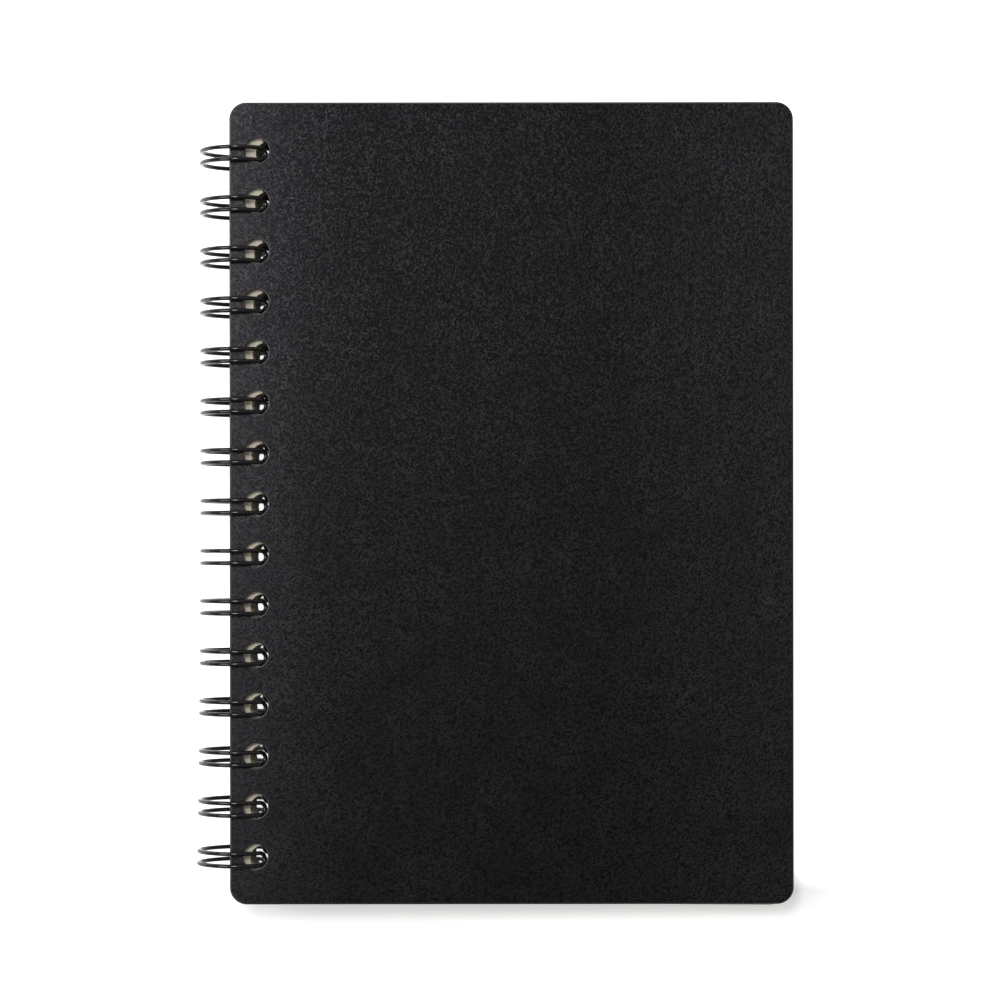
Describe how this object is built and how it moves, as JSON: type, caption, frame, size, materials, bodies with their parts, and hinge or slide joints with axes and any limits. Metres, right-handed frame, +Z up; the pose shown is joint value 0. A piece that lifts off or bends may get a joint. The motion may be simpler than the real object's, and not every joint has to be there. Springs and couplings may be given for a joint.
{
  "type": "spiral notebook",
  "caption": "Twin-loop wire notebook with plain charcoal card covers, rounded corners and cream pages, lying closed.",
  "frame": {"origin": "on the table under the middle of the closed notebook's box", "axes": "+X from the wire to the fore edge, +Y from the foot to the head of the covers, +Z up, out of the front cover"},
  "size_m": [0.1501, 0.2028, 0.019],
  "materials": {
    "cover_card": "matt fine-grained card",
    "page_paper": "uncoated cream writing paper",
    "wire_coating": "glossy black coated steel wire"
  },
  "bodies": {
    "back_board": {"back_cover": "cover_card"},
    "bound_pages": {"page_block": "page_paper", "twin_loop_wire": "wire_coating"},
    "front_board": {"front_cover": "cover_card"}
  },
  "joints": [
    {"name": "back_hinge", "type": "hinge", "parent": "back_board", "child": "bound_pages", "pos_m": [-0.06551, 0, 0.0095], "axis": [0, -1, 0], "range_deg": [0, 180]},
    {"name": "front_hinge", "type": "hinge", "parent": "bound_pages", "child": "front_board", "pos_m": [-0.06551, 0, 0.0095], "axis": [0, -1, 0], "range_deg": [0, 180]}
  ]
}
